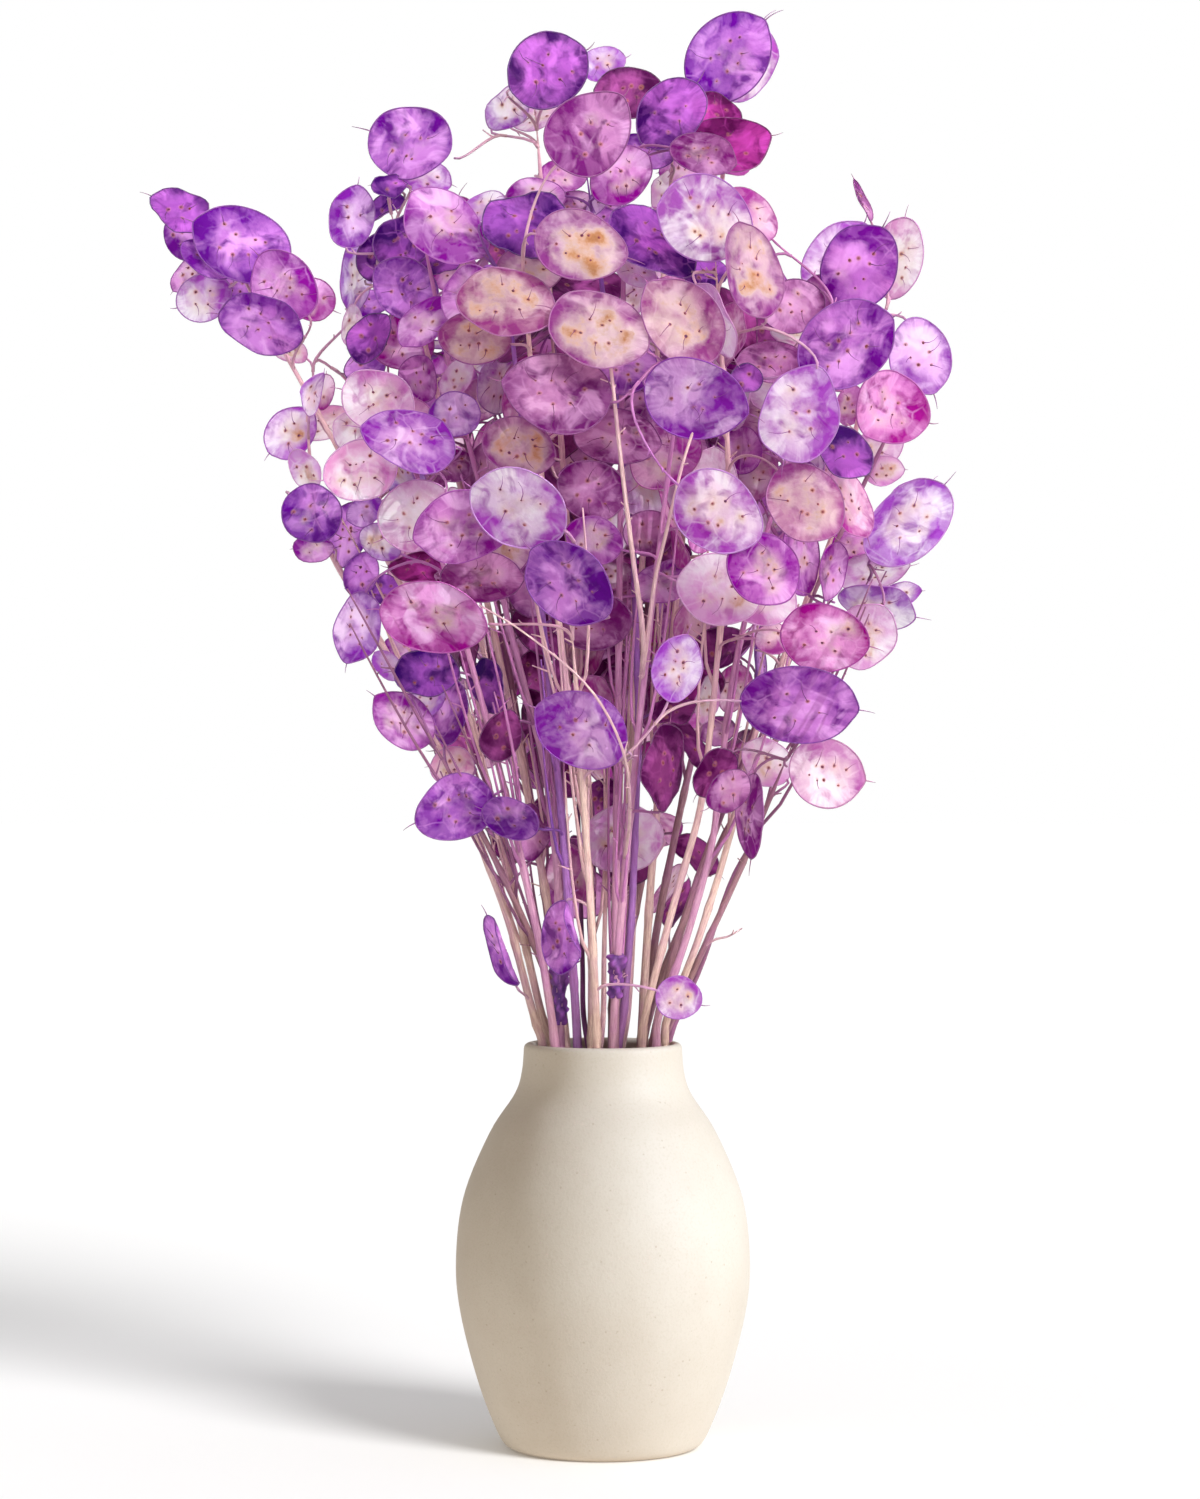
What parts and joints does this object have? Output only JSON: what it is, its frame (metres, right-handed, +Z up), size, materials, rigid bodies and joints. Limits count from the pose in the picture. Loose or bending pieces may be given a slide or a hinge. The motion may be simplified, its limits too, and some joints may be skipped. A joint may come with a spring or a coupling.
{
  "type": "honesty seed pod stems in a vase",
  "caption": "Bunch of dried, dyed honesty stems with flat oval translucent seed pods, standing in a round-shouldered matte stoneware vase.",
  "frame": {"origin": "centre of the vase's foot, on the surface that it stands on", "axes": "+Z up along the vase's axis; the bunch's front is towards -Y, and +X is to the right seen from the front"},
  "size_m": [0.3531, 0.2548, 0.6354],
  "materials": {
    "stoneware": "matte unglazed stoneware with a fine sandy speckle",
    "pods_violet": "papery translucent seed pods dyed deep violet",
    "pods_orchid": "papery translucent seed pods dyed orchid and magenta",
    "pods_lilac": "papery translucent seed pods dyed pale lilac",
    "pods_mauve": "papery translucent seed pods dyed mauve over amber hearts"
  },
  "bodies": {
    "root": {"vase": "stoneware", "stem_01": "pods_violet", "stem_02": "pods_violet", "stem_03": "pods_violet", "stem_04": "pods_lilac", "stem_05": "pods_mauve", "stem_06": "pods_orchid", "stem_07": "pods_mauve", "stem_08": "pods_violet", "stem_09": "pods_orchid", "stem_10": "pods_lilac", "stem_11": "pods_violet", "stem_12": "pods_mauve", "stem_13": "pods_orchid", "stem_14": "pods_orchid", "stem_15": "pods_violet", "stem_16": "pods_violet", "stem_17": "pods_mauve", "stem_18": "pods_orchid", "stem_19": "pods_lilac", "stem_20": "pods_violet", "stem_21": "pods_violet", "stem_22": "pods_mauve", "stem_23": "pods_violet", "stem_24": "pods_orchid", "stem_25": "pods_lilac", "stem_26": "pods_mauve", "stem_27": "pods_lilac", "stem_28": "pods_violet"}
  },
  "joints": []
}
